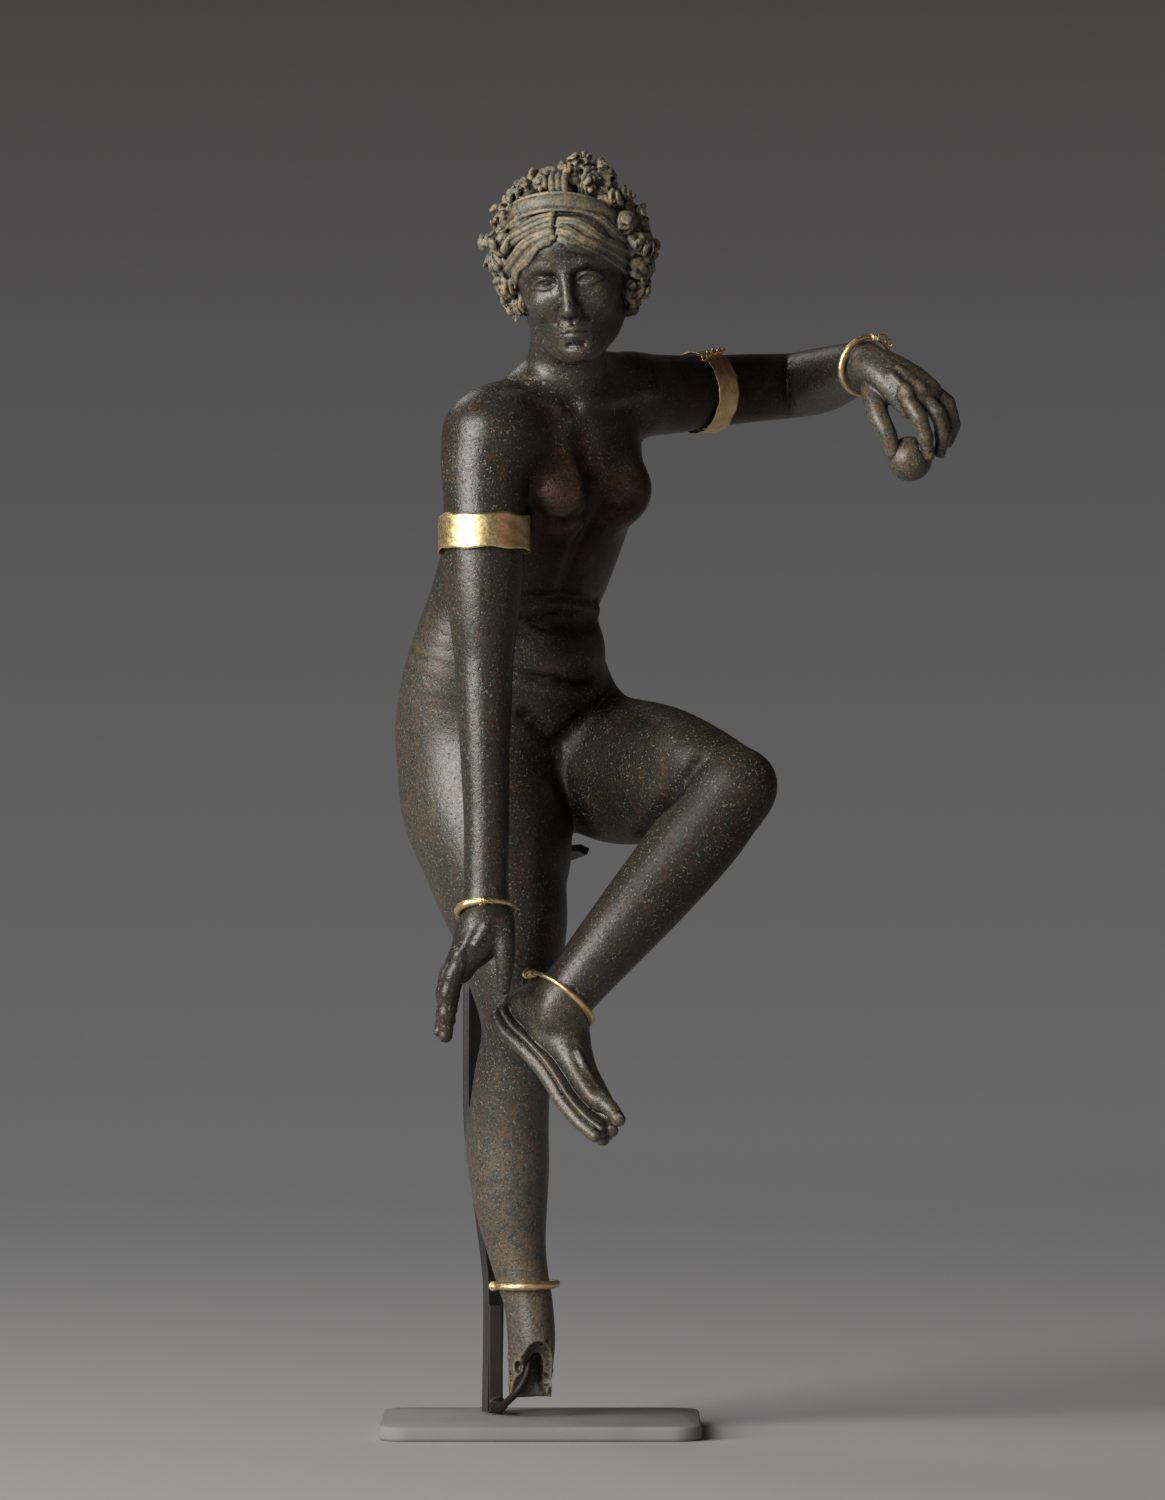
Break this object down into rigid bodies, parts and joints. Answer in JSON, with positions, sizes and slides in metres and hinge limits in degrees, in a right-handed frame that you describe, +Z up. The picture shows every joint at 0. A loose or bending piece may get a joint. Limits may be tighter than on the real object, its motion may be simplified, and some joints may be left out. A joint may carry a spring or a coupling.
{
  "type": "roman statuette",
  "caption": "Cast bronze statuette of a nude woman balancing on one leg and reaching to her raised foot, with gold ornaments, on a display mount.",
  "frame": {"origin": "centre of the underside of the mount's foot plate", "axes": "+Z up, +X to the right of a viewer who faces the figure, +Y away from that viewer"},
  "size_m": [0.1152, 0.0753, 0.2558],
  "materials": {
    "bronze": "dark brown bronze patina with green and tan speckles, satin",
    "gold": "hammered and drawn gold, soft polish",
    "dark_paint": "dark brown-grey paint, satin",
    "pale_paint": "mid grey paint, matt"
  },
  "bodies": {
    "root": {"figure": "bronze", "armlet_right": "gold", "armlet_left": "gold", "bracelet_right": "gold", "bracelet_left": "gold", "anklet_right": "gold", "anklet_left": "gold", "mount_bar": "dark_paint", "mount_post": "dark_paint", "mount_foot": "pale_paint"}
  },
  "joints": []
}
